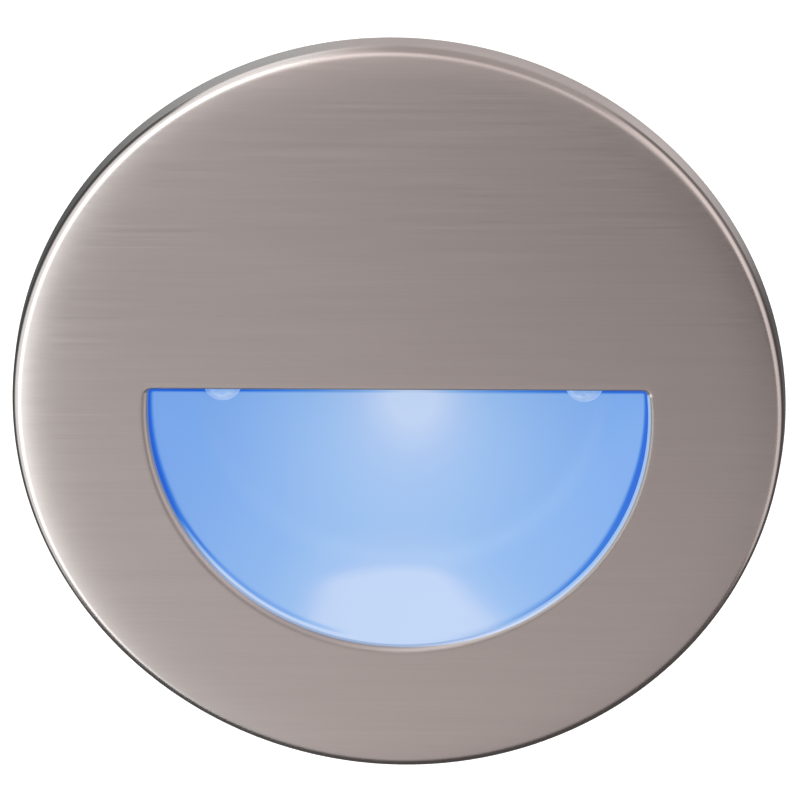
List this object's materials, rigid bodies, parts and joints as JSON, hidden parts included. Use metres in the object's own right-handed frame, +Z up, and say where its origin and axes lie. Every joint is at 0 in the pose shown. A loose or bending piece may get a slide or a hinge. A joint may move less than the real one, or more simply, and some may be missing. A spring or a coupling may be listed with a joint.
{
  "type": "step light",
  "caption": "Round recessed step light: brushed plate with a half-moon opening over a white bowl lit blue by hidden diodes, with a wall can behind.",
  "frame": {"origin": "centre of the round plate in the plane of the wall, which is also the centre of the flange's wall screws", "axes": "+Z up, -Y toward the room, +Y into the wall, +X to the viewer's right"},
  "size_m": [0.127, 0.0601, 0.127],
  "materials": {
    "plate_metal": "fine horizontal brushed satin nickel",
    "stud_steel": "zinc plated",
    "foam": "closed-cell foam",
    "seal_rubber": "smooth matte",
    "bowl_white": "semi-gloss white, lit blue by the diodes",
    "screw_steel": "bright plated",
    "window_frosted": "frosted",
    "lamp_board_white": "white solder mask on aluminium",
    "led_body": "matte",
    "led_silicone": "clear silicone over blue diodes",
    "thermal_pad": "soft matte",
    "sink_aluminium": "extruded, natural",
    "plug_white": "moulded nylon",
    "can_paint": "grey powder coat on cast aluminium",
    "insulator_film": "polyester film",
    "board_green": "glass-fibre board with solder mask",
    "ferrite": "sintered ferrite",
    "winding_tape": "taped coil",
    "capacitor_sleeve": "shrunk sleeve",
    "chip_black": "moulded epoxy",
    "fuse_body": "ceramic tube fuse",
    "block_plastic": "moulded nylon",
    "brass": "machined",
    "lead_black": "insulation",
    "lead_white": "insulation",
    "lead_green": "insulation",
    "lead_red": "insulation",
    "gland_plastic": "moulded nylon"
  },
  "bodies": {
    "root": {"face_plate": "plate_metal", "plate_studs": "stud_steel", "stud_nuts": "stud_steel", "wall_gasket": "foam", "bowl_gasket": "seal_rubber", "reflector_bowl": "bowl_white", "trim_screws": "screw_steel", "trim_screw_seals": "seal_rubber", "window_gasket": "seal_rubber", "lamp_window": "window_frosted", "lamp_board": "lamp_board_white", "led_packages": "led_body", "led_domes": "led_silicone", "lamp_screws": "screw_steel", "thermal_pad": "thermal_pad", "heat_sink": "sink_aluminium", "heat_sink_screws": "screw_steel", "lamp_plug": "plug_white", "housing_can": "can_paint", "can_seal": "seal_rubber", "driver_insulator": "insulator_film", "driver_board": "board_green", "driver_screws": "screw_steel", "transformer_core": "ferrite", "transformer_winding": "winding_tape", "mains_capacitor": "capacitor_sleeve", "lamp_capacitor": "capacitor_sleeve", "bridge_rectifier": "chip_black", "driver_chip": "chip_black", "fuse": "fuse_body", "mains_plug": "plug_white", "driver_lamp_plug": "plug_white", "terminal_block": "block_plastic", "terminal_sleeves": "brass", "clamp_screws": "screw_steel", "terminal_block_screws": "screw_steel", "earth_tag": "brass", "earth_screw": "brass", "live_lead": "lead_black", "neutral_lead": "lead_white", "earth_lead": "lead_green", "lamp_lead_black": "lead_black", "lamp_lead_red": "lead_red", "gland_washer": "seal_rubber", "gland_body": "gland_plastic", "gland_seal": "seal_rubber", "gland_cap": "gland_plastic", "gland_locknut": "gland_plastic"}
  },
  "joints": []
}
